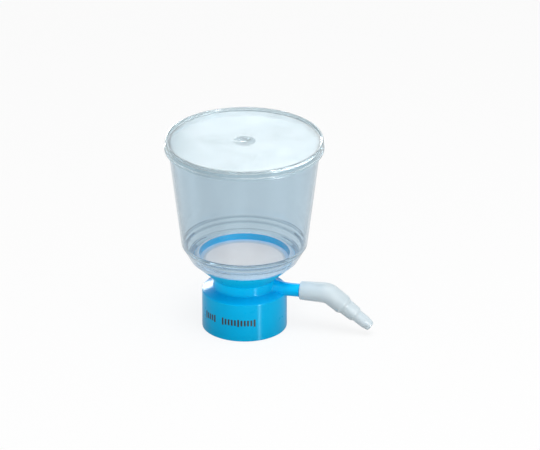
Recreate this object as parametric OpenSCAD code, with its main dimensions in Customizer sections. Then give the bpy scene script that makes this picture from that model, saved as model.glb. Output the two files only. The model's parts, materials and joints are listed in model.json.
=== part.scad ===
// Bottle-top vacuum filter: a clear funnel and lid on a blue neck adapter that
// screws onto a bottle, with a swivelling hose connector on its side port.
// Origin: on the axis, at the collar's bottom face. +Z up, the side port along +X.

/* [Collar] */
// Wall of the collar, outside its thread
collar_wall = 4; // [2.5:0.1:6]
// Plastic above the gasket's seat, up to the collar's top edge
collar_roof = 2.4; // [1.6:0.1:6]
// Bore of the collar, at the root of its thread
socket_d = 46; // [38:0.5:56]
// Depth of the bore, from the collar's bottom face
socket_depth = 21.2; // [14:0.2:30]
// Lead-in chamfer at the mouth of the bore
socket_lead = 0.8; // [0.4:0.1:1.2]
// Rounding of the collar's outer edges
collar_edge = 0.8; // [0.3:0.1:1.2]

/* [Neck gasket] */
// Thickness of the gasket
gasket_t = 1.6; // [1:0.1:1.6]
// Width of the gasket's ring
gasket_w = 4.6; // [3:0.1:4.6]
// Radial gap between the gasket and its seat
gasket_gap = 0.1; // [0.05:0.05:0.2]
// Ledge between the gasket's seat and the bore
gasket_ledge = 1.1; // [0.8:0.1:1.5]

/* [Neck] */
// Outer diameter of the neck
neck_d = 39.3; // [36:0.1:42]
// Height of the neck's straight wall
neck_h = 4.2; // [3:0.1:10]
// Wall of the neck
neck_wall = 2.25; // [1.8:0.05:3]
// Rise of the sloping shoulder, from the collar to the neck
shoulder_rise = 2.8; // [2:0.1:5]

/* [Dish] */
// How far the dish's rim stands out beyond the membrane's edge
dish_out = 8.55; // [7:0.05:12]
// Rise of the dish's cone, from the neck to the seam
dish_rise = 15.3; // [13:0.1:20]
// Wall of the dish's cone
dish_wall = 2.2; // [1.6:0.1:2.6]
// Width of the dish's rim
rim_w = 2.55; // [2:0.05:3]
// Height of the rim above the land that the funnel's flange lies on
rim_lip = 1.6; // [1.2:0.1:2.4]
// Number of ribs that carry the membrane
rib_count = 24; // [12:2:28]
// Thickness of a rib
rib_t = 1.2; // [0.8:0.1:1.6]
// Bore of the drain spout
spout_bore = 7.6; // [5:0.1:9]
// Wall of the drain spout
spout_wall = 1.4; // [1:0.1:2]
// Height of the spout's tip above the ceiling of the collar's bore
spout_up = 0.6; // [0.2:0.1:2]

/* [Membrane] */
// Diameter of the membrane
membrane_d = 52; // [43:0.5:63]
// Thickness of the membrane
membrane_t = 0.25; // [0.15:0.05:0.5]
// Width of the membrane's edge that the funnel clamps
clamp_w = 1.3; // [1:0.1:2]
// Gap round the membrane's edge
membrane_gap = 0.1; // [0.05:0.05:0.3]

/* [Funnel] */
// Outer diameter of the funnel's rim
rim_d = 97.2; // [81:0.2:118]
// How far the foot of the straight wall stands out beyond the dish
foot_out = 5.55; // [4:0.05:8]
// Height of the straight wall
wall_h = 69.1; // [40:0.5:120]
// Rise of the funnel's lower cone, from the seam to the straight wall
foot_rise = 9.8; // [9:0.1:14]
// Wall thickness
wall_t = 1.6; // [1.2:0.1:1.8]
// Number of steps in the bowl
step_count = 3; // [2:1:4]
// Thickness of the floor ring that clamps the membrane
floor_t = 0.65; // [0.6:0.05:1]
// Width of the flat floor ring
floor_w = 2.4; // [2:0.1:3]
// Thickness of the flange that is welded to the dish
flange_t = 1; // [0.8:0.1:1.4]
// Gap between the flange and the dish's rim
flange_gap = 0.1; // [0.05:0.05:0.3]

/* [Lid] */
// Radial gap between the lid's skirt and the funnel's rim
lid_gap = 0.35; // [0.3:0.05:0.6]
// Thickness of the lid
lid_t = 1.3; // [1:0.1:1.6]
// Depth of the skirt below the funnel's rim
skirt_h = 4.1; // [3:0.1:8]
// Height of the raised rim above the lid's disc
ridge_h = 1.3; // [0.8:0.1:2]
// How far the bead at the skirt's lower edge stands out
bead_out = 0.45; // [0.2:0.05:0.8]
// Height of that bead
bead_h = 1.9; // [1.4:0.1:2.6]
// Diameter of the dimple at the lid's centre
dimple_d = 14.4; // [10:0.2:20]
// Depth of the dimple
dimple_depth = 0.7; // [0.3:0.05:0.8]

/* [Side port] */
// Outer diameter of the port's stub
port_d = 8.4; // [7.8:0.1:8.8]
// Bore of the port
port_bore = 4.4; // [3:0.1:4.6]
// Height of the port's axis above the collar's top edge
port_up = 1.8; // [1.6:0.1:2]
// Length of the stub outside the collar
port_out = 9; // [7:0.5:16]
// Diameter of the nipple that the connector turns on
nipple_d = 7.2; // [6.8:0.1:7.4]
// Length of the nipple
nipple_l = 10.5; // [8:0.5:12]
// How much wider than the stub the port is at its root
root_flare = 3.6; // [2:0.1:4]
// Length of the fibre plug in the port
plug_l = 9; // [5:0.5:10]
// Gap round the fibre plug
plug_gap = 0.05; // [0.02:0.01:0.1]

/* [Hose connector] */
// Radial clearance between the nipple and the connector
swivel_gap = 0.06; // [0.03:0.01:0.09]
// End gap between the stub and the connector
end_gap = 0.3; // [0.2:0.05:0.5]
// Diameter at the connector's face
face_d = 11.9; // [11:0.1:12.4]
// Diameter at the bend
bend_d = 13.1; // [12.6:0.1:14]
// Distance from the connector's face to the centre of the bend
socket_l = 18.2; // [17:0.1:24]
// Radius of the bend
bend_r = 9; // [8:0.5:12]
// Angle of the bend
bend_a = 37.3; // [15:0.1:45]
// Distance from the centre of the bend to the tip
leg_l = 34.5; // [33:0.5:50]
// Bore of the connector
hose_bore = 3.8; // [3:0.1:4.2]
// Diameter of the middle step
middle_d = 10.4; // [9.6:0.1:11]
// Diameter of the land that the hose grips
land_d = 8; // [7.4:0.1:8.6]
// Length of that land
land_l = 6; // [5:0.5:8]
// Diameter at the tip
tip_d = 6; // [5.4:0.1:6.6]

/* [Hidden] */
$fn = 96;

// How far a cut runs past the face that it opens
past = 1;

// Heights on the neck adapter
collar_h = socket_depth + gasket_t + collar_roof;
neck_z = collar_h + shoulder_rise;
cone_z = neck_z + neck_h;
seam_z = cone_z + dish_rise;
land_z = seam_z - rim_lip;
seat_z = land_z - membrane_t;
port_z = collar_h + port_up;

// Radii on the neck adapter
socket_r = socket_d / 2;
collar_r = socket_r + collar_wall;
neck_r = neck_d / 2;
chamber_r = neck_r - neck_wall;
seam_r = membrane_d / 2 + dish_out;
rim_in_r = seam_r - rim_w;
spout_r = spout_bore / 2 + spout_wall;
seat_r = membrane_d / 2 + membrane_gap;
well_r = membrane_d / 2 - clamp_w;
gasket_seat_r = socket_r - gasket_ledge;
gasket_z = socket_depth;
spout_z = socket_depth + spout_up;

// The dish's inner cone lies one wall above its outer cone
dish_slope = dish_rise / (seam_r - neck_r);
dish_lift = dish_wall * sqrt(1 + dish_slope * dish_slope);
function dish_top(r) = cone_z + (r - neck_r) * dish_slope + dish_lift;
pan_r = chamber_r + 0.4;
pan_z = dish_top(pan_r);
pan_drop = 0.9;
plate_t = 2;

// Heights and radii on the funnel
foot_z = seam_z + foot_rise;
rim_z = foot_z + wall_h;
foot_r = seam_r + foot_out;
rim_r = rim_d / 2;
floor_z = land_z + floor_t;
window_r = well_r;
floor_r = window_r + floor_w;
bowl_r = foot_r - wall_t;
bowl_z = foot_z + 0.2;
flange_r = rim_in_r - flange_gap;
chamfer_in = 2.6;
chamfer_up = 2.3;
step_in = (bowl_r - floor_r - chamfer_in) / step_count;
step_drop = (bowl_z - floor_z - chamfer_up) / step_count;
tread_fall = 0.35;
riser_lean = 0.35;

// Heights and radii on the lid
lid_in_r = rim_r + lid_gap;
lid_r = lid_in_r + lid_t;
lid_z = rim_z + lid_t;
ridge_z = lid_z + ridge_h;
ridge_w = 1.5;
skirt_z = rim_z - skirt_h;

// Places along the side port's axis
stub_x = collar_r + port_out;
nipple_x = stub_x + nipple_l;
plug_x = nipple_x - 1;
face_x = stub_x + end_gap;
bend_x = face_x + socket_l;
bend_cut = bend_r * tan(bend_a / 2);

// The legs run a little way into the bend, and are finer than it by a hair
leg_in = 0.5;
leg_end_r = bend_d / 2 - 0.06;

// The second leg's bore is this much finer, in radius, than the first leg's
leg_bore_less = 0.2;

// Stages of the connector's second leg, from the bend's centre
land_end = leg_l - 5;
land_start = land_end - land_l;
middle_start = land_start - 9.5;
stage_fall = 2;

// Points of an arc about [cx, cy], from angle a0 to a1 in n steps
function arc(cx, cy, r, a0, a1, n = 5) = [
    for (i = [0:n]) let (a = a0 + (a1 - a0) * i / n) [cx + r * cos(a), cy + r * sin(a)]
];

// A shape turned about the port's axis: x runs out along the port, y is the radius
module along_port(profile) {
    translate([0, 0, port_z])
        rotate([0, 90, 0])
            rotate_extrude()
                polygon([for (p = profile) [p[1], p[0]]]);
}

// The connector's second leg has its own axis, from the centre of the bend
module along_leg() {
    translate([bend_x, 0, port_z])
        rotate([0, 90 + bend_a, 0])
            children();
}

module lid() {
    ridge_out = lid_r - 0.9;
    ridge_in = ridge_out - ridge_w;
    dimple_r = dimple_d / 2;
    ball_r = (dimple_r * dimple_r + dimple_depth * dimple_depth) / (2 * dimple_depth);
    dimple_a = asin(dimple_r / ball_r);
    color([0.86, 0.93, 0.95, 0.45])
        rotate_extrude()
            polygon(concat(
                [[0, rim_z]],
                [[lid_in_r, rim_z], [lid_in_r, skirt_z + 0.3], [lid_in_r + 0.3, skirt_z]],
                arc(lid_r + bead_out - 0.8, skirt_z + 0.8, 0.8, -90, 0),
                arc(lid_r + bead_out - 0.7, skirt_z + bead_h - 0.7, 0.7, 0, 70, 4),
                [[lid_r, skirt_z + bead_h]],
                arc(ridge_out - 0.1, ridge_z - 1, 1, 0, 90),
                arc(ridge_in + 0.4, ridge_z - 0.4, 0.4, 90, 180, 3),
                [[ridge_in, lid_z + 0.4], [ridge_in - 0.4, lid_z]],
                arc(0, lid_z - dimple_depth + ball_r, ball_r, dimple_a - 90, -90, 8)
            ));
}

module funnel() {
    wall_in_r = rim_r - wall_t;
    skirt_in_r = seam_r - wall_t;
    steps = [
        for (i = [0:step_count - 1])
            let (r = bowl_r - i * step_in, z = bowl_z - i * step_drop)
                each [
                    [r, z],
                    [r - step_in + riser_lean, z - tread_fall],
                    [r - step_in, z - step_drop]
                ]
    ];
    color([0.80, 0.87, 0.91, 0.40])
        rotate_extrude()
            polygon(concat(
                [[seam_r, seam_z], [foot_r - 0.3, foot_z - 0.5], [foot_r + 0.05, foot_z + 0.5]],
                arc(rim_r - 0.5, rim_z - 0.5, 0.5, 0, 90, 3),
                arc(wall_in_r + 0.4, rim_z - 0.4, 0.4, 90, 180, 3),
                steps,
                [[floor_r, floor_z], [window_r + 0.2, floor_z], [window_r, floor_z - 0.2]],
                [[window_r, land_z], [flange_r, land_z], [flange_r, land_z + flange_t]],
                [[flange_r - 1.2, land_z + flange_t + 0.3], [bowl_r - 0.9, bowl_z - 2.4]],
                [[bowl_r - 0.4, bowl_z - 2.6], [skirt_in_r, seam_z]]
            ));
}

module membrane() {
    color([0.93, 0.91, 0.93])
        translate([0, 0, seat_z])
            cylinder(h = membrane_t, d = membrane_d);
}

// Outside of the neck adapter, as if it were solid
module adapter_body() {
    e = collar_edge;
    rotate_extrude()
        polygon(concat(
            [[0, 0]],
            arc(collar_r - e / 2, e / 2, e / 2, -90, 0, 3),
            arc(collar_r - e, collar_h - e, e, 0, 60, 4),
            [[neck_r + 0.9, neck_z - 0.1], [neck_r + 0.25, neck_z + 0.2], [neck_r, neck_z + 0.9]],
            [[neck_r, cone_z], [seam_r, seam_z], [0, seam_z]]
        ));
    along_port([
        [0, 0], [0, port_d / 2 + root_flare / 2 + 1],
        [neck_r, port_d / 2 + root_flare / 2], [collar_r + 3.8, port_d / 2],
        [stub_x - 0.3, port_d / 2], [stub_x, port_d / 2 - 0.3],
        [stub_x, nipple_d / 2], [nipple_x - 0.5, nipple_d / 2],
        [nipple_x, nipple_d / 2 - 0.5], [nipple_x, 0]
    ]);
}

// Collar bore, gasket seat and vacuum chamber, open to the bottle
module adapter_socket() {
    rotate_extrude()
        polygon([
            [0, -past], [socket_r + socket_lead + past, -past],
            [socket_r, socket_lead], [socket_r, socket_depth],
            [gasket_seat_r, socket_depth], [gasket_seat_r, gasket_z + gasket_t],
            [chamber_r, gasket_z + gasket_t], [chamber_r, pan_z - plate_t - 0.6],
            [spout_r, pan_z - pan_drop - plate_t], [0, pan_z - pan_drop - plate_t]
        ]);
}

// Dish above the drain plate, with the seats of the membrane and the funnel
module adapter_dish() {
    rotate_extrude()
        polygon([
            [0, pan_z - pan_drop], [pan_r, pan_z],
            [well_r, dish_top(well_r)], [well_r, seat_z],
            [seat_r, seat_z], [seat_r, land_z],
            [rim_in_r, land_z], [rim_in_r, seam_z + past],
            [0, seam_z + past]
        ]);
}

// Radial ribs from the dish's cone up to the membrane; every other one runs in to the spout
module support_ribs() {
    intersection() {
        for (i = [0:rib_count - 1])
            rotate([0, 0, (i + 0.5) * 360 / rib_count])
                translate([i % 2 == 0 ? spout_r : well_r * 0.55, -rib_t / 2, 0])
                    cube([well_r, rib_t, seat_z]);
        rotate_extrude()
            polygon([
                [spout_r, pan_z - pan_drop - 0.4], [pan_r, pan_z - 0.6],
                [well_r + 0.3, dish_top(well_r) - 0.4], [well_r + 0.3, seat_z],
                [spout_r, seat_z]
            ]);
    }
}

module neck_adapter() {
    color([0.05, 0.66, 0.90]) {
        difference() {
            union() {
                difference() {
                    adapter_body();
                    adapter_socket();
                    adapter_dish();
                }
                translate([0, 0, spout_z])
                    cylinder(h = pan_z - pan_drop - 1 - spout_z, r = spout_r);
                support_ribs();
            }
            translate([0, 0, spout_z - past])
                cylinder(h = pan_z - spout_z + 2 * past, d = spout_bore);
            translate([chamber_r - past, 0, port_z])
                rotate([0, 90, 0])
                    cylinder(h = nipple_x - chamber_r + 2 * past, d = port_bore);
        }
    }
}

module neck_gasket() {
    out_r = gasket_seat_r - gasket_gap;
    color([0.92, 0.92, 0.90])
        translate([0, 0, gasket_z])
            difference() {
                cylinder(h = gasket_t, r = out_r);
                translate([0, 0, -past])
                    cylinder(h = gasket_t + 2 * past, r = out_r - gasket_w);
            }
}

module hose_connector() {
    bore_r = hose_bore / 2;
    color([0.90, 0.93, 0.94])
        difference() {
            union() {
                along_port([
                    [face_x, 0], [face_x, face_d / 2 - 0.6], [face_x + 0.6, face_d / 2],
                    [bend_x - bend_cut + leg_in, leg_end_r], [bend_x - bend_cut + leg_in, 0]
                ]);
                connector_bend();
                along_leg()
                    rotate_extrude()
                        polygon([
                            [0, bend_cut - leg_in], [leg_end_r, bend_cut - leg_in],
                            [leg_end_r - 0.15, middle_start - stage_fall],
                            [middle_d / 2 + 0.1, middle_start],
                            [middle_d / 2 - 0.2, land_start - stage_fall],
                            [land_d / 2, land_start], [land_d / 2, land_end],
                            [tip_d / 2 + 0.15, leg_l - 0.4], [tip_d / 2 - 0.2, leg_l], [0, leg_l]
                        ]);
            }
            along_port([
                [face_x - past, 0], [face_x - past, nipple_d / 2 + swivel_gap],
                [nipple_x + end_gap, nipple_d / 2 + swivel_gap], [nipple_x + end_gap, 0]
            ]);
            along_port([[face_x, 0], [face_x, bore_r], [bend_x + 1, bore_r], [bend_x + 1, 0]]);
            along_leg()
                translate([0, 0, -0.5])
                    cylinder(h = leg_l + past, r = bore_r - leg_bore_less);
        }
}

// The round bend between the connector's two legs
module connector_bend() {
    translate([bend_x - bend_cut, 0, port_z - bend_r])
        rotate([90, 0, 0])
            rotate([0, 0, 90 - bend_a])
                rotate_extrude(angle = bend_a)
                    translate([bend_r, 0])
                        circle(d = bend_d);
}

module port_plug() {
    color([0.95, 0.95, 0.93])
        translate([plug_x - plug_l, 0, port_z])
            rotate([0, 90, 0])
                cylinder(h = plug_l, d = port_bore - 2 * plug_gap);
}

lid();
funnel();
membrane();
neck_adapter();
neck_gasket();
hose_connector();
port_plug();
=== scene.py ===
"""Looks of a bottle-top vacuum filter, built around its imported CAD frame.

Lengths are metres in the part's own frame: +Z up the axis, +X out along the side port.
MM turns millimetres into metres. Capitals are sizes read off the photo or chosen here, and
lower-case sizes come from the frame.
"""

import json
import math

import bmesh
import bpy
from mathutils import Matrix, Vector, noise


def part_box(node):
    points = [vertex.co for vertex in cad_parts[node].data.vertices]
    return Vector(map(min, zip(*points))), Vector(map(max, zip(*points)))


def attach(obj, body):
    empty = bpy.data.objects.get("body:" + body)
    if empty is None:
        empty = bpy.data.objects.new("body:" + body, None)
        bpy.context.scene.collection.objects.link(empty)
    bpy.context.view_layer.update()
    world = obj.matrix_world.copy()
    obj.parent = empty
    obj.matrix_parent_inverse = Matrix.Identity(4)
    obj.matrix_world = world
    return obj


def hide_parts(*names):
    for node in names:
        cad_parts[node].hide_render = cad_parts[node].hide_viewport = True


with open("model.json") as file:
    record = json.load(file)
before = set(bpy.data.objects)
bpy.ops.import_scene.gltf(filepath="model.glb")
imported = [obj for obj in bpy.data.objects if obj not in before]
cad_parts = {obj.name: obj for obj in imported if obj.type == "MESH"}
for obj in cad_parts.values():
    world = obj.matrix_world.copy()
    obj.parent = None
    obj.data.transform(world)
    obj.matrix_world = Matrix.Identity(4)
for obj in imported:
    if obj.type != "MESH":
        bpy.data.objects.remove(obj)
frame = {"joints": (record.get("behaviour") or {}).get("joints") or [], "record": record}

MM = 0.001
UP = Vector((0, 0, 1))
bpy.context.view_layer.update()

# ---------------------------------------------------------------- sizes from the frame

lid_low, lid_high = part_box("lid")
cup_low, cup_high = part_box("funnel")
blue_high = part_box("neck_adapter")[1]
disc_low, disc_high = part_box("membrane")
seal_low, seal_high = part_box("neck_gasket")
hose_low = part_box("hose_connector")[0]
plug_low, plug_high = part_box("port_plug")

mounts = {m["name"]: m for m in frame["record"]["mounts"]}
joints = {j["name"]: j for j in frame["joints"]}

rim_r, rim_z, land_z = cup_high.y, cup_high.z, cup_low.z
seam_r, seam_z = blue_high.y, blue_high.z
seat_z, disc_r = disc_low.z, disc_high.y
socket_r = mounts["bottle_neck"]["dims"]["r_mm"] * MM
socket_depth = seal_low.z
port_z = joints["connector_swivel"]["pos_m"][2]
face_x, nipple_x = hose_low.x, blue_high.x

WALL_T = 1.6 * MM  # the clear cup's wall
WELD = 0.02 * MM  # how far welded plastic runs into what it is welded to
CLAMP_W = 1.3 * MM  # how far the clamp reaches over the membrane's edge

# ---------------------------------------------------------------- camera

CAM_AZIMUTH = 12.0
CAM_ELEVATION = 24.8
CAM_DISTANCE = 6.0
SENSOR_W = 36  # millimetres, as Blender's cameras have it
VIEW_WIDTH = 0.3424  # metres across the picture, at the axis
LOOK_HEIGHT = 0.0692
LOOK_RIGHT = 0.0162


def direction(azimuth, elevation):
    """Unit vector from the object to a viewer. Azimuth 0 looks along +Y, and 90 along -X."""
    a, e = math.radians(azimuth), math.radians(elevation)
    return Vector((math.sin(a) * math.cos(e), -math.cos(a) * math.cos(e), math.sin(e)))


def aim(obj, target):
    """Turns a camera or lamp to look at target."""
    obj.rotation_euler = (target - obj.location).to_track_quat("-Z", "Y").to_euler()


def make_camera():
    data = bpy.data.cameras.new("camera")
    data.sensor_width = SENSOR_W
    data.lens = data.sensor_width * CAM_DISTANCE / VIEW_WIDTH
    cam = bpy.data.objects.new("camera", data)
    bpy.context.scene.collection.objects.link(cam)
    to_the_right = direction(CAM_AZIMUTH + 90, 0)
    target = LOOK_HEIGHT * UP + LOOK_RIGHT * to_the_right
    cam.location = target + CAM_DISTANCE * direction(CAM_AZIMUTH, CAM_ELEVATION)
    aim(cam, target)
    bpy.context.scene.camera = cam


make_camera()

# ---------------------------------------------------------------- mesh tools

NEARLY_STRAIGHT = math.radians(89)  # half of a corner's angle, from which it isn't rounded
MAX_CUT = 0.49  # the share of an outline's side that a rounding may use up
ON_AXIS = 1e-7
CLOSE_VERTS = 5e-6


def link(name, bm, smooth_angle=35):
    """Puts a bmesh into the scene, smooth-shaded but for its sharp edges."""
    bmesh.ops.recalc_face_normals(bm, faces=bm.faces)
    mesh = bpy.data.meshes.new(name)
    bm.to_mesh(mesh)
    bm.free()
    obj = bpy.data.objects.new(name, mesh)
    bpy.context.scene.collection.objects.link(obj)
    soften(obj, smooth_angle)
    return obj


def soften(obj, smooth_angle=35):
    """Smooth shading in which large faces keep their own normals."""
    obj.data.shade_smooth()
    obj.data.set_sharp_from_angle(angle=math.radians(smooth_angle))
    weighted = obj.modifiers.new("weighted_normals", "WEIGHTED_NORMAL")
    weighted.keep_sharp = True


def mm(*corners):
    """Corners of an outline from millimetres to metres."""
    return [tuple(v * MM for v in c) for c in corners]


def fillet(corners, steps=4):
    """Rounds a closed outline. Each corner is (r, z) or (r, z, rounding)."""
    out = []
    for i, corner in enumerate(corners):
        here = Vector(corner[:2])
        radius = corner[2] if len(corner) > 2 else 0
        back = Vector(corners[i - 1][:2]) - here
        ahead = Vector(corners[(i + 1) % len(corners)][:2]) - here
        half = back.angle(ahead) / 2
        if radius == 0 or half > NEARLY_STRAIGHT:
            out.append(here)
            continue
        cut = min(radius / math.tan(half), back.length * MAX_CUT, ahead.length * MAX_CUT)
        a, b = here + back.normalized() * cut, here + ahead.normalized() * cut
        for k in range(steps + 1):
            t = k / steps
            out.append((1 - t) ** 2 * a + 2 * t * (1 - t) * here + t * t * b)
    return out


def join_rings(bm, one, two):
    """Faces between two rings of vertices. A ring of one vertex is a pole."""
    turns = max(len(one), len(two))
    if turns == 1:
        return
    for k in range(turns):
        m = (k + 1) % turns
        corners = [one[k % len(one)], one[m % len(one)], two[m % len(two)], two[k % len(two)]]
        bm.faces.new(list(dict.fromkeys(corners)))


def sweep(name, outline, place, turns=192, smooth_angle=35):
    """A closed outline of (radius, station) points turned about a line.

    place(radius, station, angle) says where each point goes.
    """
    bm = bmesh.new()
    rings = []
    for radius, station in outline:
        count = 1 if radius < ON_AXIS else turns
        ring = [place(radius, station, math.tau * k / turns) for k in range(count)]
        rings.append([bm.verts.new(at) for at in ring])
    for i, ring in enumerate(rings):
        join_rings(bm, ring, rings[(i + 1) % len(rings)])
    return link(name, bm, smooth_angle)


def about_z(radius, height, angle):
    """A place for sweep: turned about the part's axis."""
    return (radius * math.cos(angle), radius * math.sin(angle), height)


def about_port(radius, x, angle):
    """A place for sweep: turned about the side port's axis."""
    return (x, radius * math.cos(angle), port_z + radius * math.sin(angle))


def combine(obj, other, operation):
    """Boolean of obj with other, which is used up."""
    cut = obj.modifiers.new("cut", "BOOLEAN")
    cut.operation, cut.object, cut.solver = operation, other, "EXACT"
    bpy.context.view_layer.update()
    graph = bpy.context.evaluated_depsgraph_get()
    weighted = obj.modifiers["weighted_normals"]
    weighted.show_viewport = False
    mesh = bpy.data.meshes.new_from_object(obj.evaluated_get(graph), depsgraph=graph)
    bm = bmesh.new()
    bm.from_mesh(mesh)
    bmesh.ops.remove_doubles(bm, verts=bm.verts, dist=CLOSE_VERTS)
    bmesh.ops.dissolve_degenerate(bm, edges=bm.edges, dist=CLOSE_VERTS)
    bm.to_mesh(mesh)
    bm.free()
    obj.modifiers.clear()
    obj.data = mesh
    bpy.data.objects.remove(other)
    soften(obj)


def paint_ridge_shade(obj, amount, is_ridge):
    """Sets the attribute that paints shade into clear plastic, to amount where is_ridge(radius,
    height).
    The darker colour stands in for the dark lines that refraction draws along ridges.
    """
    painted_shade_layer = obj.data.attributes.new("ridge", "FLOAT", "POINT")
    for vertex, painted_shade in zip(obj.data.vertices, painted_shade_layer.data):
        if is_ridge(math.hypot(vertex.co.x, vertex.co.y), vertex.co.z):
            painted_shade.value = amount


def finish_piece(obj, body, material, node=None):
    """Gives a piece its material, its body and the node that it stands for."""
    obj.data.materials.clear()
    obj.data.materials.append(material)
    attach(obj, body)
    if node:
        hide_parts(node)


# ---------------------------------------------------------------- materials


def linear(r, g, b):
    """Linear values from sRGB values of 0 to 255, by the sRGB curve."""
    return [v / 3294.6 if v <= 10.3 else ((v / 255 + 0.055) / 1.055) ** 2.4 for v in (r, g, b)]


def colour(r, g, b):
    """An opaque colour for a socket, from sRGB values of 0 to 255."""
    return (*linear(r, g, b), 1)


WHITE = (1, 1, 1, 1)


class Nodes:
    """A short way to write the node tree of a new material, or of an owner such as a world."""

    def __init__(self, name="", owner=None, output="OutputMaterial"):
        self.owner = owner or bpy.data.materials.new(name)
        self.owner.use_nodes = True
        self.tree = self.owner.node_tree
        self.tree.nodes.clear()
        self.out = self.add(output)
        self.coords = self.add("TexCoord").outputs["Object"]

    def add(self, kind, sockets=None, **settings):
        """A new node, with its settings and the constants on its sockets."""
        node = self.tree.nodes.new("ShaderNode" + kind)
        for key, value in settings.items():
            setattr(node, key, value)
        for key, value in (sockets or {}).items():
            node.inputs[key].default_value = value
        return node

    def link(self, source, target):
        self.tree.links.new(source, target)

    def noise(self, scale, detail=3, rough=0.5, stretch=(1, 1, 1)):
        """Noise of about scale lumps to the metre. A small number in stretch draws it out there."""
        node = self.add("TexNoise", {"Scale": scale, "Detail": detail, "Roughness": rough})
        mapping = self.add("Mapping", {"Scale": stretch})
        self.link(self.coords, mapping.inputs["Vector"])
        self.link(mapping.outputs[0], node.inputs["Vector"])
        return node.outputs["Fac"]

    def spread(self, source, low, high, start=0.3, end=0.7):
        """Maps a source from start..end to low..high."""
        ends = {"From Min": start, "From Max": end, "To Min": low, "To Max": high}
        node = self.add("MapRange", ends)
        self.link(source, node.inputs["Value"])
        return node.outputs["Result"]

    def mix_colour(self, factor, one, two):
        """Colour one where factor is 0, and two where it is 1."""
        node = self.add("Mix", data_type="RGBA")
        self.put(factor, node.inputs["Factor"])
        self.put(one, node.inputs[6])
        self.put(two, node.inputs[7])
        return node.outputs[2]

    def largest(self, *sources):
        """The largest of several values."""
        found = sources[0]
        for source in sources[1:]:
            node = self.add("Math", operation="MAXIMUM")
            self.link(found, node.inputs[0])
            self.link(source, node.inputs[1])
            found = node.outputs[0]
        return found

    def put(self, value, socket):
        """Links an output to a socket, or sets the socket to a number or colour."""
        if isinstance(value, bpy.types.NodeSocket):
            self.link(value, socket)
        else:
            socket.default_value = value

    def product(self, one, two):
        node = self.add("Math", operation="MULTIPLY")
        self.put(one, node.inputs[0])
        self.put(two, node.inputs[1])
        return node.outputs[0]

    def choose(self, factor, one, two):
        """Number one where factor is 0, and two where it is 1."""
        node = self.add("Mix", data_type="FLOAT")
        self.put(factor, node.inputs[0])
        self.put(one, node.inputs[2])
        self.put(two, node.inputs[3])
        return node.outputs[0]

    def bump(self, height, strength, distance):
        node = self.add("Bump", {"Strength": strength, "Distance": distance})
        self.link(height, node.inputs["Height"])
        return node.outputs["Normal"]

    def mix_shaders(self, factor, one, two):
        """Shader one where factor is 0, and two where it is 1."""
        node = self.add("MixShader")
        self.link(factor, node.inputs[0])
        self.link(one, node.inputs[1])
        self.link(two, node.inputs[2])
        return node.outputs[0]

    def any_ray(self, *kinds):
        """1 for a ray of any of these kinds, such as Camera or Shadow."""
        path = self.add("LightPath").outputs
        return self.largest(*(path[f"Is {kind} Ray"] for kind in kinds))

    def surface(self, shader):
        """Ends the tree with this shader, and returns what owns the tree."""
        self.link(shader, self.out.inputs["Surface"])
        return self.owner


STYRENE_IOR = 1.57
SOFT_IOR = 1.5  # of the blue and the milky plastic
SHADE = 0.9  # how dark the darker streaks in clear plastic are
EDGE_FROM, EDGE_TO = 0.7, 0.92  # how far edge-on a face is as it takes the painted edge shade
WAVE_DEPTH = 0.4 * MM
GRAIN_DEPTH = 0.05 * MM


def clear_plastic(
    name, face_tint, edge_painted_shade, depth_tint, clearness, gloss, rough, wave, wave_scale
):
    """Clear polystyrene: face_tint at its faces, and depth_tint through one wall's thickness.

    Faces seen edge-on, as at its outline, and a mesh's marked ridges take the edge's colour, a
    painted shade for the dark lines that refraction draws there. What clearness leaves short of 1
    is haze.
    Lamps shine straight through it, so what it holds is lit.
    """
    n = Nodes(name)
    glass = n.add("BsdfPrincipled", {
        "IOR": STYRENE_IOR, "Transmission Weight": clearness,
        "Specular Tint": (gloss, gloss, gloss, 1),
    })
    darker = [c * SHADE for c in face_tint[:3]] + [1]
    flow = n.noise(38, detail=2, stretch=(1, 1, 0.12))
    tint = n.mix_colour(n.spread(flow, 0, 1), darker, face_tint)
    facing = n.add("LayerWeight", {"Blend": 0.5}).outputs["Facing"]
    edge_on = n.spread(facing, 0, 1, EDGE_FROM, EDGE_TO)
    # Painted shade: faces seen edge-on and marked ridges are darkened towards the edge's colour.
    ridges = n.add("Attribute", attribute_name="ridge").outputs["Fac"]
    n.link(n.mix_colour(n.largest(edge_on, ridges), tint, edge_painted_shade), glass.inputs["Base Color"])
    n.link(n.spread(n.noise(60), rough * 0.7, rough * 1.4), glass.inputs["Roughness"])
    n.link(n.bump(n.noise(wave_scale, detail=2), wave, WAVE_DEPTH), glass.inputs["Normal"])
    pass_through = n.add("BsdfTransparent", {"Color": (0.99, 0.995, 1, 1)})
    unseen = n.any_ray("Shadow", "Diffuse")
    loss = [-math.log(c) / WALL_T for c in depth_tint]
    depth = n.add("VolumeAbsorption", {
        "Density": max(loss), "Color": [1 - v / max(loss) for v in loss] + [1],
    })
    n.link(depth.outputs[0], n.out.inputs["Volume"])
    return n.surface(n.mix_shaders(unseen, glass.outputs[0], pass_through.outputs[0]))


COLLAR_BLUES = colour(0, 179, 235), colour(0, 187, 242)
# Painted light: a lighter blue for the neck and dish, which are the same plastic as the collar.
NECK_PAINTED_LIGHT_BLUE = colour(0, 199, 251)
PAINTED_LIGHT_FROM, PAINTED_LIGHT_TO = 27 * MM, 31 * MM  # heights between which the blue is painted lighter: painted light on the neck and dish


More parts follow.
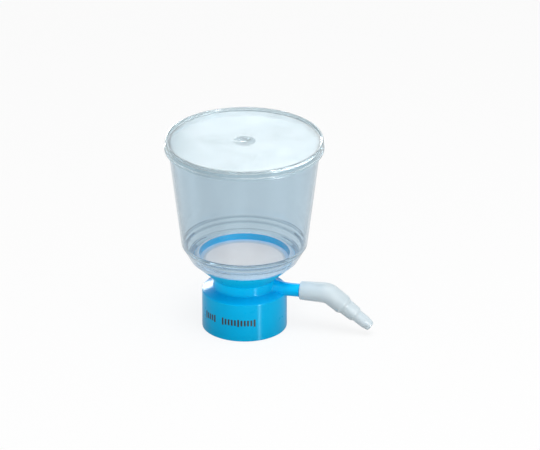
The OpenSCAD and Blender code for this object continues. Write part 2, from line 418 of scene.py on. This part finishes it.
def blue_plastic():
    """Sky-blue moulded plastic, its mould turned about the axis.

    The neck and dish are painted a little lighter than the collar: painted light that lifts them
    out of the shade under the cup and dish.
    """
    n = Nodes("blue_plastic")
    skin = n.add("BsdfPrincipled", {
        "IOR": SOFT_IOR, "Specular IOR Level": 0.15, "Specular Tint": (0.5, 0.95, 1, 1),
        "Anisotropic": 0.98, "Anisotropic Rotation": 0.25,
        "Subsurface Weight": 0.1, "Subsurface Radius": (0.3, 0.8, 1),
        "Subsurface Scale": 0.8 * MM,
    })
    tone = n.mix_colour(n.spread(n.noise(35, detail=2), 0, 1), *COLLAR_BLUES)
    place = n.add("SeparateXYZ")
    n.link(n.coords, place.inputs[0])
    # Painted light: above the collar the blue is mixed towards the lighter neck blue.
    painted_light_above_collar = n.spread(place.outputs["Z"], 0, 1, PAINTED_LIGHT_FROM, PAINTED_LIGHT_TO)
    n.link(n.mix_colour(painted_light_above_collar, tone, NECK_PAINTED_LIGHT_BLUE), skin.inputs["Base Color"])
    n.link(n.spread(n.noise(220), 0.27, 0.33), skin.inputs["Roughness"])
    n.link(n.add("Tangent", direction_type="RADIAL", axis="Z").outputs[0], skin.inputs["Tangent"])
    n.link(n.bump(n.noise(450, detail=3), 0.08, GRAIN_DEPTH), skin.inputs["Normal"])
    return n.surface(skin.outputs[0])


def milky_plastic():
    """Soft milky polyethylene: light goes into it and spreads."""
    n = Nodes("milky_plastic")
    skin = n.add("BsdfPrincipled", {
        "IOR": SOFT_IOR, "Subsurface Weight": 0.7, "Subsurface Radius": (1, 1, 1),
        "Subsurface Scale": 2 * MM,
    })
    tones = colour(196, 210, 216), colour(206, 218, 224)
    n.link(n.mix_colour(n.spread(n.noise(80), 0, 1), *tones), skin.inputs["Base Color"])
    n.link(n.spread(n.noise(300), 0.3, 0.42), skin.inputs["Roughness"])
    n.link(n.bump(n.noise(700, detail=4), 0.15, GRAIN_DEPTH), skin.inputs["Normal"])
    return n.surface(skin.outputs[0])


def matt(name, one, two, rough, mottle, grain, strength):
    """A dull surface, mottled between two colours, with a fine grain.

    mottle and grain are lumps to the metre.
    """
    n = Nodes(name)
    skin = n.add("BsdfPrincipled")
    n.link(n.mix_colour(n.spread(n.noise(mottle), 0, 1), one, two), skin.inputs["Base Color"])
    vary = 0.06
    n.link(n.spread(n.noise(grain / 2), rough - vary, rough + vary), skin.inputs["Roughness"])
    n.link(n.bump(n.noise(grain, detail=5), strength, GRAIN_DEPTH), skin.inputs["Normal"])
    return n.surface(skin.outputs[0])


# Painted shade in part: the cup's grey-blue tint, at its faces and through its walls, is partly the
# plastic's own and partly stands in for the dimmer surroundings that clear plastic shows.
CLEAR_CUP = clear_plastic(
    "clear_cup", colour(224, 234, 240), colour(100, 122, 136), (0.92, 0.95, 0.965),
    clearness=0.995, gloss=0.35, rough=0.03, wave=0.1, wave_scale=45,
)
CLEAR_LID = clear_plastic(
    "clear_lid", colour(216, 231, 236), colour(135, 155, 166), (0.992, 0.995, 0.996),
    clearness=0.88, gloss=1, rough=0.12, wave=0.02, wave_scale=25,
)
BLUE = blue_plastic()
MILKY = milky_plastic()
PAPER = matt("filter_membrane", colour(243, 229, 225), colour(250, 237, 232), 0.75, 120, 2500, 0.3)
SEAL = matt("soft_seal", colour(226, 226, 220), colour(236, 236, 231), 0.6, 90, 800, 0.2)
FIBRE = matt("fibre_plug", colour(232, 232, 226), colour(245, 245, 240), 0.9, 600, 3000, 0.8)
WELD_WHITE = matt("weld_white", colour(226, 230, 240), colour(236, 240, 248), 0.7, 600, 3000, 0.3)
INK = matt("black_ink", colour(16, 20, 26), colour(30, 36, 44), 0.5, 900, 2000, 0.2)

# ---------------------------------------------------------------- lid

LID_T = 1.3 * MM
LID_GAP = 0.35 * MM
BEAD_H = 1.9 * MM  # the bead along the lid's lower edge
RIM_SET_IN = 0.45 * MM
RIM_W = 0.9 * MM
RIM_PAINTED_SHADE = 0.25  # how much of the painted edge shade the raised rim takes
DIMPLE_R = 7.2 * MM
DIMPLE_FLOOR_R = 1.6 * MM
DIMPLE_DEPTH = 0.8 * MM
PIP_R = 1.2 * MM
PIP_H = 0.3 * MM


def make_lid():
    """The lid's disc, skirt and bead, with a raised rim and a dimple with a pip in it."""
    bead_r, top, bottom = lid_high.x, lid_high.z, lid_low.z
    inner = rim_r + LID_GAP
    outer = inner + LID_T
    disc_z = rim_z + LID_T
    dimple_z = disc_z - DIMPLE_DEPTH
    rim_out = outer - RIM_SET_IN
    rim_in = rim_out - RIM_W
    outline = fillet([
        (inner, rim_z, 0.15 * MM),
        (inner, bottom, 0.35 * MM),
        (bead_r, bottom, 0.8 * MM),
        (bead_r, bottom + BEAD_H, 0.8 * MM),
        (outer, bottom + BEAD_H + 0.2 * MM, 0.3 * MM),
        (outer, top - 0.6 * MM, 0.8 * MM),
        (rim_out, top, 0.5 * MM),
        (rim_in, top, 0.4 * MM),
        (rim_in - 0.15 * MM, disc_z, 0.5 * MM),
        (DIMPLE_R, disc_z, 0.8 * MM),
        (DIMPLE_FLOOR_R, dimple_z, 0.4 * MM),
        (PIP_R, dimple_z + 0.25 * MM, 0.3 * MM),
        (0, dimple_z + PIP_H),
        (0, rim_z),
    ])
    lid = sweep("lid_shell", outline, about_z)
    # Painted shade: the raised rim is darkened, standing in for the dark outline that refraction
    # draws there.
    paint_ridge_shade(lid, RIM_PAINTED_SHADE, lambda r, z: z > disc_z + 0.1 * MM)
    finish_piece(lid, "lid_body", CLEAR_LID, "lid")


# ---------------------------------------------------------------- funnel

NECK_R = 19.65 * MM
CONE_Z = 34 * MM  # where the neck ends and the blue cone starts
BLUE_RIM_R = 28.9 * MM  # the inner wall of the blue rim round the membrane
TONGUE_R = BLUE_RIM_R + 1.2 * MM
TONGUE_TOP = seam_z + 2.9 * MM
SKIRT_H = 2 * MM  # how far the clear cup runs down over the blue cone
FOOT_OUT, FOOT_UP = 5.55 * MM, 9.8 * MM  # from the seam to the corner of the cup's foot
CORNER_UP = 0.6 * MM  # from that corner up to the topmost ridge
RING_UP, LEDGE_UP = 7.4 * MM, 3.6 * MM  # from the seam up to the lower ridges
LEDGE_SIZE = 0.4  # of a whole ridge
LEDGE_W = 0.6 * MM
FLOOR_T = 0.65 * MM
RIDGE_D = 1.1 * MM
RIDGE_H = 1.4 * MM
RIDGE_PAINTED_SHADE = 0.62  # how much of the painted edge shade the ridges take


def ridge(r, z, facing, size=1):
    """A small undercut ridge on an inner wall whose surface faces that many degrees above level."""
    a = math.radians(facing)
    out, down = Vector((-math.cos(a), math.sin(a))), Vector((-math.sin(a), -math.cos(a)))
    here = Vector((r, z))
    depth, height = size * RIDGE_D, size * RIDGE_H
    tip = here + depth * out - 0.1 * height * down
    below = here + 0.8 * height * down
    return [(*(here - height * down), 0.3 * MM), (*tip, 0.12 * MM), (*below, 0.2 * MM)]


def skirt_edge():
    """Where the clear cup ends on the blue cone, as (radius, height)."""
    slope = (seam_r - NECK_R) / (seam_z - CONE_Z)
    return seam_r - SKIRT_H * slope, seam_z - SKIRT_H


def rim_slope(r):
    """Height at that radius of the blue rim's slope, which the clear cup is welded to."""
    skirt_r, skirt_z = skirt_edge()
    return skirt_z + (land_z - skirt_z) * (skirt_r - r) / (skirt_r - BLUE_RIM_R)


def make_funnel():
    """The clear cup, with ridges and a ledge in its foot and a floor ring on the membrane."""
    foot_r, foot_z = seam_r + FOOT_OUT, seam_z + FOOT_UP
    cone = Vector((foot_r - seam_r, foot_z - seam_z)).normalized()
    facing = math.degrees(math.atan2(cone.x, cone.y))

    def inner_r(z):
        """Radius of the cone's inner face at height z."""
        return seam_r - cone.y * WALL_T + (z - seam_z - cone.x * WALL_T) * cone.x / cone.y

    corner_z, ring_z, ledge_z = foot_z + CORNER_UP, seam_z + RING_UP, seam_z + LEDGE_UP
    floor_z = land_z + FLOOR_T
    window_r = disc_r - CLAMP_W
    ledge_r = BLUE_RIM_R - LEDGE_W
    skirt_r, skirt_z = skirt_edge()
    outline = fillet([
        (skirt_r, skirt_z - WELD, 0.1 * MM),
        (seam_r, seam_z, 1.5 * MM),
        (foot_r, foot_z, 1.6 * MM),
        (rim_r, rim_z - WELD, 0.5 * MM),
        (rim_r - WALL_T, rim_z - WELD, 0.5 * MM),
        *ridge(inner_r(corner_z), corner_z, facing / 2),
        *ridge(inner_r(ring_z), ring_z, facing),
        *ridge(inner_r(ledge_z), ledge_z, facing, LEDGE_SIZE),
        (inner_r(ledge_z) - LEDGE_W, ledge_z - 0.4 * MM, 0.2 * MM),
        (ledge_r, ledge_z - 0.5 * MM, 0.4 * MM),
        (ledge_r, floor_z, 0.4 * MM),
        (window_r, floor_z, 0.2 * MM),
        (window_r, land_z - WELD),
        (BLUE_RIM_R + WELD, land_z - WELD),
    ])
    cup = sweep("funnel_shell", outline, about_z)
    corner_r = inner_r(corner_z)
    flare = (rim_r - WALL_T - corner_r) / (rim_z - corner_z)

    def on_ridge(r, z):
        wall_r = min(inner_r(z), corner_r + flare * (z - corner_z))
        return ledge_z < z < corner_z + RIDGE_H and r < wall_r - 0.12 * MM

    # Painted shade: the ridges are darkened, standing in for the dark lines that refraction draws
    # there.
    paint_ridge_shade(cup, RIDGE_PAINTED_SHADE, on_ridge)
    finish_piece(cup, "unit", CLEAR_CUP, "funnel")


# ---------------------------------------------------------------- neck adapter

COLLAR_R = 27 * MM
COLLAR_H = 25.2 * MM
NECK_Z = 28 * MM
CHAMBER_R = 17.4 * MM
SPOUT_R = 5.2 * MM
SPOUT_BORE_R = 3.8 * MM
PLATE_Z = 30.6 * MM  # underside of the drain plate
PAN_R = 17.8 * MM
PAN_Z = 33.45 * MM
WELL_Z = 40.5 * MM  # where the dish's cone meets the wall under the membrane
SPOUT_Z = socket_depth + 0.6 * MM  # the spout's lower end
SEAL_SEAT_R = 21.9 * MM
MOUTH = 0.8 * MM  # chamfer at the collar's mouth
DISC_GAP = 0.1 * MM  # between the membrane's edge and its seat
NIPPLE_R = 3.6 * MM
STUB_R = 4.2 * MM
STUB_X = 36 * MM
BORE_R = 2.2 * MM
FLARE = 1.8 * MM  # how much wider the stub is at the neck
FLARE_CURVE = 2.2
FLARE_STEPS = 12
SPARE = 0.1 * MM  # how far a cutter reaches past the faces that it must not meet


def adapter_outline():
    """The blue part about its axis. Its rim has a tongue, welded up into the clear cup."""
    well_r = disc_r - CLAMP_W
    skirt_r, skirt_z = skirt_edge()
    return fillet([
        (socket_r + MOUTH, 0, 0.1 * MM),
        (COLLAR_R, 0, 0.5 * MM),
        (COLLAR_R, COLLAR_H, 1 * MM),
        (NECK_R, NECK_Z, 1.6 * MM),
        (NECK_R, CONE_Z, 2 * MM),
        (skirt_r, skirt_z, 0.15 * MM),
        (TONGUE_R, rim_slope(TONGUE_R)),
        (TONGUE_R, TONGUE_TOP, 0.3 * MM),
        (BLUE_RIM_R, TONGUE_TOP, 0.3 * MM),
        (BLUE_RIM_R, land_z),
        (disc_r + DISC_GAP, land_z),
        (disc_r + DISC_GAP, seat_z),
        (well_r, seat_z, 0.2 * MM),
        (well_r, WELL_Z, 0.6 * MM),
        (PAN_R, PAN_Z, 1.5 * MM),
        (SPOUT_BORE_R, PAN_Z - 0.9 * MM, 0.8 * MM),
        (SPOUT_BORE_R, SPOUT_Z, 0.2 * MM),
        (SPOUT_R, SPOUT_Z, 0.4 * MM),
        (SPOUT_R, PLATE_Z, 1.2 * MM),
        (CHAMBER_R, PLATE_Z + 0.25 * MM, 1.2 * MM),
        (CHAMBER_R, seal_high.z, 0.2 * MM),
        (SEAL_SEAT_R, seal_high.z, 0.2 * MM),
        (SEAL_SEAT_R, socket_depth, 0.15 * MM),
        (socket_r, socket_depth, 0.3 * MM),
        (socket_r, MOUTH, 0.2 * MM),
    ])


def port_outline():
    """The side port, flared smoothly into the neck, as (radius, x)."""
    flare = []
    start, end = NECK_R + 0.07 * MM, COLLAR_R + 3.8 * MM
    for k in range(FLARE_STEPS + 1):
        t = k / FLARE_STEPS
        flare.append((STUB_R + FLARE * (1 - t) ** FLARE_CURVE, start + (end - start) * t))
    rest = fillet([
        (STUB_R, STUB_X, 0.35 * MM),
        (NIPPLE_R, STUB_X, 0.1 * MM),
        (NIPPLE_R, nipple_x, 0.5 * MM),
        (0, nipple_x),
        (0, CHAMBER_R),
        (STUB_R + 2.2 * MM, CHAMBER_R),
    ])
    return flare + rest


def make_adapter():
    """Dish, neck, collar and side port as one piece, with the port's bore cut through."""
    shell = sweep("adapter_shell", adapter_outline(), about_z)
    port = sweep("port", port_outline(), about_port, turns=96)
    seat_r, chamber_r = SEAL_SEAT_R + SPARE, CHAMBER_R + SPARE
    low, step, high = socket_depth - 1 * MM, seal_high.z + SPARE, PLATE_Z + 1 * MM
    inside = sweep("inside", [
        (0, low), (seat_r, low), (seat_r, step), (chamber_r, step), (chamber_r, high), (0, high),
    ], about_z)
    combine(port, inside, "DIFFERENCE")
    combine(shell, port, "UNION")
    bore_start = CHAMBER_R - 1.5 * MM
    bore = sweep("bore", [
        (0, bore_start), (BORE_R, bore_start), (BORE_R, nipple_x - 0.3 * MM),
        (BORE_R + 0.5 * MM, nipple_x + 0.2 * MM), (0, nipple_x + 0.2 * MM),
    ], about_port, turns=64)
    combine(shell, bore, "DIFFERENCE")
    finish_piece(shell, "unit", BLUE, "neck_adapter")


RIBS = 24
RIB_T = 1.2 * MM
SHORT_RIB = 0.55  # where a short rib starts, as a share of the well's radius


def make_ribs():
    """Ribs in the dish that carry the membrane. Every other one runs in to the spout."""
    well_r = disc_r - CLAMP_W
    top, outer = seat_z - 0.02 * MM, well_r + 0.2 * MM
    bm = bmesh.new()
    for i in range(RIBS):
        inner = SPOUT_R + 0.4 * MM if i % 2 == 0 else well_r * SHORT_RIB
        side = [
            (inner, PAN_Z - 1.2 * MM), (PAN_R, PAN_Z - 0.6 * MM), (outer, WELL_Z - 0.5 * MM),
            (outer, top), (inner + 1 * MM, top), (inner, top - 1 * MM),
        ]
        turn = Matrix.Rotation(math.tau * (i + 0.5) / RIBS, 3, "Z")
        left, right = (
            [bm.verts.new(turn @ Vector((r, y, z))) for r, z in side]
            for y in (-RIB_T / 2, RIB_T / 2)
        )
        bm.faces.new(left)
        bm.faces.new(reversed(right))
        join_rings(bm, left, right)
    ribs = link("support_ribs", bm, 20)
    bevel = ribs.modifiers.new("edges", "BEVEL")
    bevel.width, bevel.segments = 0.2 * MM, 2
    finish_piece(ribs, "unit", BLUE)


THREAD_PITCH = 4 * MM
THREAD_TURNS = 2.75
THREAD_START = 3.2 * MM
THREAD_DEPTH = 1.2 * MM
THREAD_W = 2.4 * MM
THREAD_STEPS = 96  # to a turn
THREAD_PROFILE = (-1, -0.8, -0.45, 0, 0.45, 0.8, 1)  # across it, in half widths
THREAD_ROOT = (0.9, -0.9)
THREAD_BITE = 0.4 * MM  # how far its root goes into the collar
RUN_OUT = 0.12  # of a turn


def make_thread():
    """The rounded thread inside the collar, right-handed, run out at both ends."""
    bm = bmesh.new()
    sections = []
    for k in range(int(THREAD_STEPS * THREAD_TURNS) + 1):
        turns = k / THREAD_STEPS
        from_end = min(turns, THREAD_TURNS - turns)
        full = math.sin(math.pi / 2 * min(1, from_end / RUN_OUT + 0.02))
        middle = THREAD_START + THREAD_PITCH * turns
        points = []
        for across in THREAD_PROFILE:
            points.append((socket_r - THREAD_DEPTH * full * (1 - across**2) ** 0.6, across))
        points += [(socket_r + THREAD_BITE, across) for across in THREAD_ROOT]
        section = []
        for r, across in points:
            at = about_z(r, middle + across * THREAD_W / 2 * full, math.tau * turns)
            section.append(bm.verts.new(at))
        sections.append(section)
    for one, two in zip(sections, sections[1:]):
        join_rings(bm, one, two)
    bm.faces.new(sections[0])
    bm.faces.new(reversed(sections[-1]))
    finish_piece(link("collar_thread", bm, 50), "unit", BLUE)


MARK_Z = 12.8 * MM
MARK_START = -140  # degrees
MARK_PITCH = 2.1 * MM
MARK_W = 1.2 * MM
MARK_T = 0.03 * MM
MARK_H, MARK_TALLER = 3.1, 0.9  # millimetres, and millimetres more for each size
MARK_ROW = (2, 1, 1, 1, 2, 0, 0, 2, 1, 1, 1, 1, 2, 1, 1, 1, 1, 2)


def make_marks():
    """A row of plain printed ticks round the collar: 2 is a tall one, 1 a short one, 0 a gap."""
    bm = bmesh.new()
    width = MARK_W / COLLAR_R
    for i, size in enumerate(MARK_ROW):
        if size == 0:
            continue
        middle = math.radians(MARK_START) + i * MARK_PITCH / COLLAR_R
        height = (MARK_H + MARK_TALLER * size) * MM
        inner, outer = [], []
        for ring, radius in ((inner, COLLAR_R - MARK_T), (outer, COLLAR_R + MARK_T)):
            for z, order in ((MARK_Z - height / 2, 1), (MARK_Z + height / 2, -1)):
                for step in (-1, 0, 1)[::order]:
                    ring.append(bm.verts.new(about_z(radius, z, middle + step * width / 2)))
        bm.faces.new(inner)
        bm.faces.new(reversed(outer))
        join_rings(bm, inner, outer)
    finish_piece(link("collar_marks", bm), "unit", INK)


# ---------------------------------------------------------------- membrane, welds, gasket, plug

MEMBRANE_TURNS, MEMBRANE_RINGS = 240, 30
SAG = 0.03 * MM  # between ribs
SAG_FULL_R = 12 * MM
UNEVEN = 0.05 * MM
WELD_FILM = 0.08 * MM


def make_membrane():
    """The membrane, sagging a little between its ribs and a little uneven."""
    bm = bmesh.new()
    turns, count = MEMBRANE_TURNS, MEMBRANE_RINGS
    edge = disc_r - CLAMP_W - 0.3 * MM
    radii = [0] + [edge * (k / count) for k in range(1, count + 1)] + [disc_r]

    def height(x, y):
        r = math.hypot(x, y)
        inside = max(0, 1 - (r / edge) ** 6) if r < edge else 0
        sag = SAG * math.cos(RIBS * math.atan2(y, x)) * min(1, r / SAG_FULL_R)
        uneven = UNEVEN * noise.noise(Vector((x, y, 0)) * 90)
        return (sag + uneven) * inside

    faces = []
    for z in (disc_low.z + 0.005 * MM, disc_high.z):
        rings = []
        for r in radii:
            at = [about_z(r, z, math.tau * k / turns) for k in range(turns if r else 1)]
            rings.append([bm.verts.new((x, y, z + height(x, y))) for x, y, z in at])
        for one, two in zip(rings, rings[1:]):
            join_rings(bm, one, two)
        faces.append(rings[-1])
    join_rings(bm, *faces)
    finish_piece(link("membrane_disc", bm), "unit", PAPER, "membrane")


def make_welds():
    """The milky welds of the blue rim to the clear cup: one on its land, one over its tongue."""
    film = WELD_FILM
    land_r, foot_r = disc_r + 0.05 * MM, skirt_edge()[0] - 0.4 * MM
    on_land = [
        (land_r, land_z - WELD), (BLUE_RIM_R + WELD, land_z - WELD),
        (BLUE_RIM_R + WELD, land_z + film), (land_r, land_z + film),
    ]
    on_tongue = [
        (foot_r, rim_slope(foot_r) - film), (foot_r, rim_slope(foot_r) + film),
        (TONGUE_R + film, rim_slope(TONGUE_R) + film), (TONGUE_R + film, TONGUE_TOP + film),
        (BLUE_RIM_R, TONGUE_TOP + film), (BLUE_RIM_R, TONGUE_TOP - film),
        (TONGUE_R - film, TONGUE_TOP - film), (TONGUE_R - film, rim_slope(TONGUE_R) - film),
    ]
    for name, outline in (("land_weld", on_land), ("tongue_weld", on_tongue)):
        finish_piece(sweep(name, outline, about_z), "unit", WELD_WHITE)


GASKET_W = 4.6 * MM
SEAL_BEAD_IN = 1.5 * MM  # from the gasket's edges in to its beads
SEAL_BEAD_W = 0.6 * MM  # half of a bead's width
SEAL_BEAD_H = 0.2 * MM


def make_gasket():
    """A soft ring with two sealing beads on its underside."""
    out_r, low, high = seal_high.y, seal_low.z, seal_high.z
    in_r, flat = out_r - GASKET_W, low + SEAL_BEAD_H
    beads = []
    for middle in (in_r + SEAL_BEAD_IN, out_r - SEAL_BEAD_IN):
        beads += [
            (middle - SEAL_BEAD_W, flat, 0.1 * MM), (middle, low, 0.4 * MM),
            (middle + SEAL_BEAD_W, flat, 0.1 * MM),
        ]
    outline = fillet([
        (in_r, high, 0.3 * MM), (in_r, flat, 0.3 * MM), *beads,
        (out_r, flat, 0.3 * MM), (out_r, high, 0.3 * MM),
    ])
    finish_piece(sweep("gasket_ring", outline, about_z), "unit", SEAL, "neck_gasket")


PLUG_TURNS, PLUG_END_RINGS, PLUG_STEPS = 48, 6, 14
FUZZ_SCALE = 2200  # lumps to the metre
FUZZ_END = 0.3 * MM  # how deep the raggedness of the plug's ends goes
FUZZ_SIDE = 0.06  # how deep it goes on its side, as a share of its radius


def make_plug():
    """The fibre plug in the port, its ends a little ragged."""
    r = (plug_high.y - plug_low.y) / 2
    start, end = plug_low.x, plug_high.x
    bm = bmesh.new()
    turns, count, steps, rings = PLUG_TURNS, PLUG_END_RINGS, PLUG_STEPS, []
    stations = [(0, start)] + [(r * k / count, start) for k in range(1, count + 1)]
    stations += [(r, start + (end - start) * k / steps) for k in range(1, steps)]
    stations += [(r * k / count, end) for k in range(count, 0, -1)] + [(0, end)]
    for radius, x in stations:
        inward = {start: 1, end: -1}.get(x, 0)
        ring = []
        for k in range(turns if radius else 1):
            at = Vector(about_port(radius, x, math.tau * k / turns))
            fuzz = 0.5 + 0.5 * noise.noise(at * FUZZ_SCALE)
            at.x += inward * FUZZ_END * fuzz
            axis = Vector((at.x, 0, port_z))
            ring.append(bm.verts.new(axis + (at - axis) * (1 - FUZZ_SIDE * fuzz)))
        rings.append(ring)
    for one, two in zip(rings, rings[1:]):
        join_rings(bm, one, two)
    finish_piece(link("fibre_plug", bm), "unit", FIBRE, "port_plug")


# ---------------------------------------------------------------- hose connector

BEND_R = 9 * MM
LAND_FROM_BEND = 26.5 * MM  # from the bend's centre to the middle of the hose's land
LEG_L = 34.5 * MM
TUBE_R = 6.48 * MM
BULGE = 0.07 * MM  # how much thicker the tube is in the middle of its bend
BEND_STEPS, BORE_BEND_STEPS = 12, 6
POCKET_L = 10.5 * MM  # the socket that takes the nipple
POCKET_R = 3.66 * MM
BORE_START_R, BORE_BEND_R, BORE_END_R = 1.9 * MM, 1.8 * MM, 1.7 * MM
SEAM_H = 0.05 * MM  # the mould's parting line
SEAM_W = 0.06  # half its width, in radians
LIP_R, SLEEVE_R = 5.4 * MM, 5.95 * MM
# The second leg in millimetres: radius, distance from the bend's centre, and rounding.
LEG = (6.34, 11.8, 1.5), (5.3, 14, 1.5), (5, 21.5, 1), (4, 23.5, 1), (4, 29.5, 1)
LEG_END = (3.15, 34.1, 0.3), (2.75, 34.5, 0.3)
TIP_START, TIP_R, TIP_TAPER = 29.5, 4, 0.185
TIP_RIDGES = (30.6, 31.8, 33)  # distances from the bend's centre


def make_connector():
    """The bent connector: a socket for the port, a bend and a stepped leg for the hose."""
    leg = Vector(mounts["hose_land"]["axis"]).normalized()
    bend = Vector(mounts["hose_land"]["pos_m"]) - leg * LAND_FROM_BEND
    turn = math.acos(leg.x)
    cut = BEND_R * math.tan(turn / 2)
    first = bend.x - cut - face_x
    arc = BEND_R * turn
    start = first + arc - cut  # add this to a distance along the second leg
    land_r = mounts["hose_land"]["dims"]["r_mm"] * MM

    def place(radius, s, angle):
        """Where a point goes at distance s along the connector's bent centre line."""
        swing = min(max(s - first, 0), arc) / BEND_R
        along = Vector((math.cos(swing), 0, -math.sin(swing)))
        outward = Vector((math.sin(swing), 0, math.cos(swing)))
        if s < first:
            middle = Vector((face_x + s, 0, port_z))
        elif s < first + arc:
            middle = Vector((bend.x - cut, 0, port_z - BEND_R)) + outward * BEND_R
        else:
            middle = bend + along * (s - start)
        seam = 0
        if radius > land_r - 0.1 * MM:
            seam = SEAM_H * max(0, 1 - abs(math.cos(angle)) / SEAM_W)
        sideways = Vector((0, 1, 0))
        spoke = math.sin(angle) * outward + math.cos(angle) * sideways
        return middle + (radius + seam) * spoke

    rings = []
    for t in TIP_RIDGES:
        r = TIP_R - (t - TIP_START) * TIP_TAPER
        rings += mm((r + 0.06, t - 0.35, 0.1), (r + 0.12, t, 0.3), (r - 0.1, t + 0.35, 0.1))
    outside = [
        (LIP_R, 0, 0.3 * MM),
        (SLEEVE_R, 0.5 * MM, 0.5 * MM),
    ]
    for k in range(BEND_STEPS + 1):
        r = TUBE_R + BULGE * math.sin(math.pi * k / BEND_STEPS)
        outside.append((r, first + arc * k / BEND_STEPS))
    second_leg = mm(*LEG) + rings + mm(*LEG_END)
    outside += [(radius, start + along, rounding) for radius, along, rounding in second_leg]
    steps = BORE_BEND_STEPS
    inside = [(BORE_END_R, start + LEG_L, 0.2 * MM), (BORE_END_R, first + arc)]
    inside += [(BORE_BEND_R, first + arc * k / steps) for k in range(steps - 1, 0, -1)]
    inside += [(BORE_START_R, first), (BORE_START_R, POCKET_L, 0.3 * MM)]
    inside += [(POCKET_R, POCKET_L, 0.3 * MM), (POCKET_R, 0, 0.2 * MM)]
    tube = sweep("connector_tube", fillet(outside + inside), place, turns=128)
    finish_piece(tube, "connector", MILKY, "hose_connector")


make_lid()
make_funnel()
make_adapter()
make_ribs()
make_thread()
make_marks()
make_membrane()
make_welds()
make_gasket()
make_plug()
make_connector()

# ---------------------------------------------------------------- stage and light

FLOOR_SIZE = 12
FLOOR_PAINT = (0.9, 0.9, 0.9, 1)
FLOOR_GLOW = 0.85  # how much of the floor's look is light of its own; the rest keeps shadows
NEAR_R, FAR_R = 0.05, 0.16  # between these the light that the floor throws grows
NEAR_LIGHT, FAR_LIGHT = 0.2, 1.8
UNDER_R, UNDER_EDGE_R = 0.018, 0.026  # inside the collar, where the floor's light is 1
AMBIENT = 0.42


def make_floor():
    """A white floor, which keeps a faint shadow. Gloss and clear plastic see it as the camera does.

    The light it throws back is weak near the object and stronger further out.
    """
    n = Nodes("floor")
    paint = n.add("BsdfDiffuse", {"Color": FLOOR_PAINT})
    path = n.add("LightPath").outputs
    length = n.add("VectorMath", operation="LENGTH")
    n.link(n.coords, length.inputs[0])
    from_axis = length.outputs["Value"]
    around = n.spread(from_axis, NEAR_LIGHT, FAR_LIGHT, NEAR_R, FAR_R)
    beneath = n.spread(from_axis, 1, 0, UNDER_R, UNDER_EDGE_R)
    thrown = n.choose(path["Is Diffuse Ray"], 1, n.largest(around, beneath))
    light = n.add("Emission", {"Color": WHITE})
    n.link(n.choose(path["Is Transmission Ray"], thrown, 1), light.inputs["Strength"])
    seen = n.any_ray("Camera", "Glossy", "Transmission", "Diffuse")
    above = n.mix_shaders(n.product(seen, FLOOR_GLOW), paint.outputs[0], light.outputs[0])
    below = n.add("BsdfTransparent")
    n.surface(n.mix_shaders(n.add("NewGeometry").outputs["Backfacing"], above, below.outputs[0]))
    bm = bmesh.new()
    bmesh.ops.create_grid(bm, x_segments=1, y_segments=1, size=FLOOR_SIZE)
    floor = link("floor", bm)
    floor.data.materials.append(n.owner)


def make_world():
    """Even white light. The camera, gloss and clear plastic all see white."""
    world = bpy.data.worlds.new("world")
    bpy.context.scene.world = world
    n = Nodes(owner=world, output="OutputWorld")
    ambient = n.add("Background", {"Color": WHITE, "Strength": AMBIENT})
    backdrop = n.add("Background", {"Color": WHITE, "Strength": 1})
    seen = n.any_ray("Camera", "Glossy", "Transmission")
    n.surface(n.mix_shaders(seen, ambient.outputs[0], backdrop.outputs[0]))


def area_lamp(name, turn, elevation, distance, size, power, height=60, **met_by):
    """A lamp that looks at the axis, at that height in millimetres.

    It stands fixed in the world, its azimuth turned that far from the photo's camera. met_by
    says which rays meet it, such as glossy=False. Camera rays never do.
    """
    data = bpy.data.lights.new(name, "AREA")
    data.shape = "RECTANGLE"
    data.size, data.size_y = size
    data.energy = power
    lamp = bpy.data.objects.new(name, data)
    bpy.context.scene.collection.objects.link(lamp)
    target = height * MM * UP
    lamp.location = target + distance * direction(CAM_AZIMUTH + turn, elevation)
    aim(lamp, target)
    for kind, met in {"camera": False, "transmission": False, **met_by}.items():
        setattr(lamp, "visible_" + kind, met)


make_floor()
make_world()
area_lamp("top", 20, 70, distance=1.5, size=(1, 1), power=16)
area_lamp("front", 14, 6, distance=2.5, size=(1.2, 1.2), power=16, glossy=False)
# The sheen on the lid, the line down the blue, and the pale patch on its left shoulder.
area_lamp(
    "back", 175.5, CAM_ELEVATION, distance=1, size=(0.24, 0.11), power=0.16, height=128,
    transmission=True, diffuse=False,
)
area_lamp("strip", 39, 6, distance=1.2, size=(0.02, 0.2), power=18, height=20, diffuse=False)
area_lamp("patch", 197, 18, distance=0.8, size=(0.2, 0.2), power=4.5, height=26, diffuse=False)

BOUNCES = 24  # enough for light to pass through lid and cup

scene = bpy.context.scene
scene.view_settings.view_transform = "Standard"
scene.cycles.max_bounces = BOUNCES
scene.cycles.transmission_bounces = BOUNCES
scene.cycles.glossy_bounces = BOUNCES
scene.cycles.transparent_max_bounces = 32
scene.cycles.caustics_reflective = False
scene.cycles.caustics_refractive = False

bpy.context.view_layer.update()
